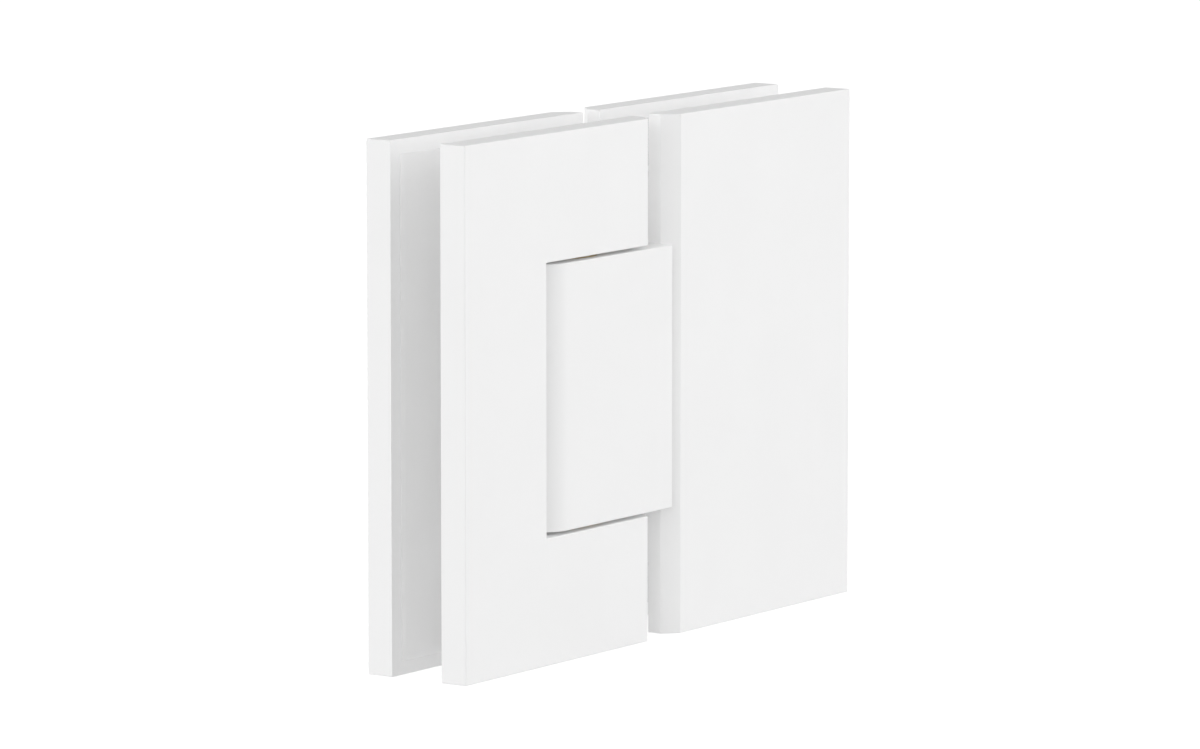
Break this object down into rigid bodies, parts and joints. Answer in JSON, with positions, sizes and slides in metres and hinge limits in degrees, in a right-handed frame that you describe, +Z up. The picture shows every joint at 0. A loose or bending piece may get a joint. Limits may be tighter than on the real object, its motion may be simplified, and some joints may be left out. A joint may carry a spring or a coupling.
{
  "type": "glass-to-glass shower hinge",
  "caption": "Shower hinge for two glass panes in line: a notched door leaf swings a quarter turn each way on a pin in the block of a plain panel leaf; both leaves clamp the glass.",
  "frame": {"origin": "centre of the gap between the two leaves, at mid height and mid thickness, which is the centre of the closed hinge's bounding box", "axes": "+X along the glass from the door leaf to the panel leaf, +Y through the glass from the plain front to the screwed back, +Z up along the pin"},
  "size_m": [0.1164, 0.0202, 0.09],
  "materials": {
    "white_coat": "smooth white powder coat, satin, on solid metal",
    "clear_gasket": "clear soft gasket sheet",
    "stainless": "turned stainless steel screws",
    "dark_steel": "blackened steel grub screws",
    "pin_steel": "ground stainless steel pin",
    "bearing_brass": "turned brass bushes",
    "spring_steel": "tempered spring steel",
    "white_nylon": "white nylon washers"
  },
  "bodies": {
    "panel_leaf": {"pivot_block": "white_coat", "panel_front_plate": "white_coat", "panel_back_plate": "white_coat", "panel_front_gasket": "clear_gasket", "panel_back_gasket": "clear_gasket", "panel_clamp_screws": "stainless", "tongue_screws": "stainless", "upper_bush": "bearing_brass", "lower_bush": "bearing_brass", "left_detent_leaf": "spring_steel", "right_detent_leaf": "spring_steel", "bush_lock_screws": "dark_steel", "upper_thrust_washer": "white_nylon"},
    "door_leaf": {"door_front_plate": "white_coat", "door_back_plate": "white_coat", "door_front_gasket": "clear_gasket", "door_back_gasket": "clear_gasket", "door_clamp_screws": "stainless", "hinge_pin": "pin_steel", "pin_lock_screws": "dark_steel", "lower_thrust_washer": "white_nylon"}
  },
  "joints": [
    {"name": "door_swing", "type": "hinge", "parent": "panel_leaf", "child": "door_leaf", "pos_m": [-0.0195, 0, 0], "axis": [0, 0, 1], "range_deg": [-90, 90], "deforming": ["left_detent_leaf", "right_detent_leaf"]}
  ]
}
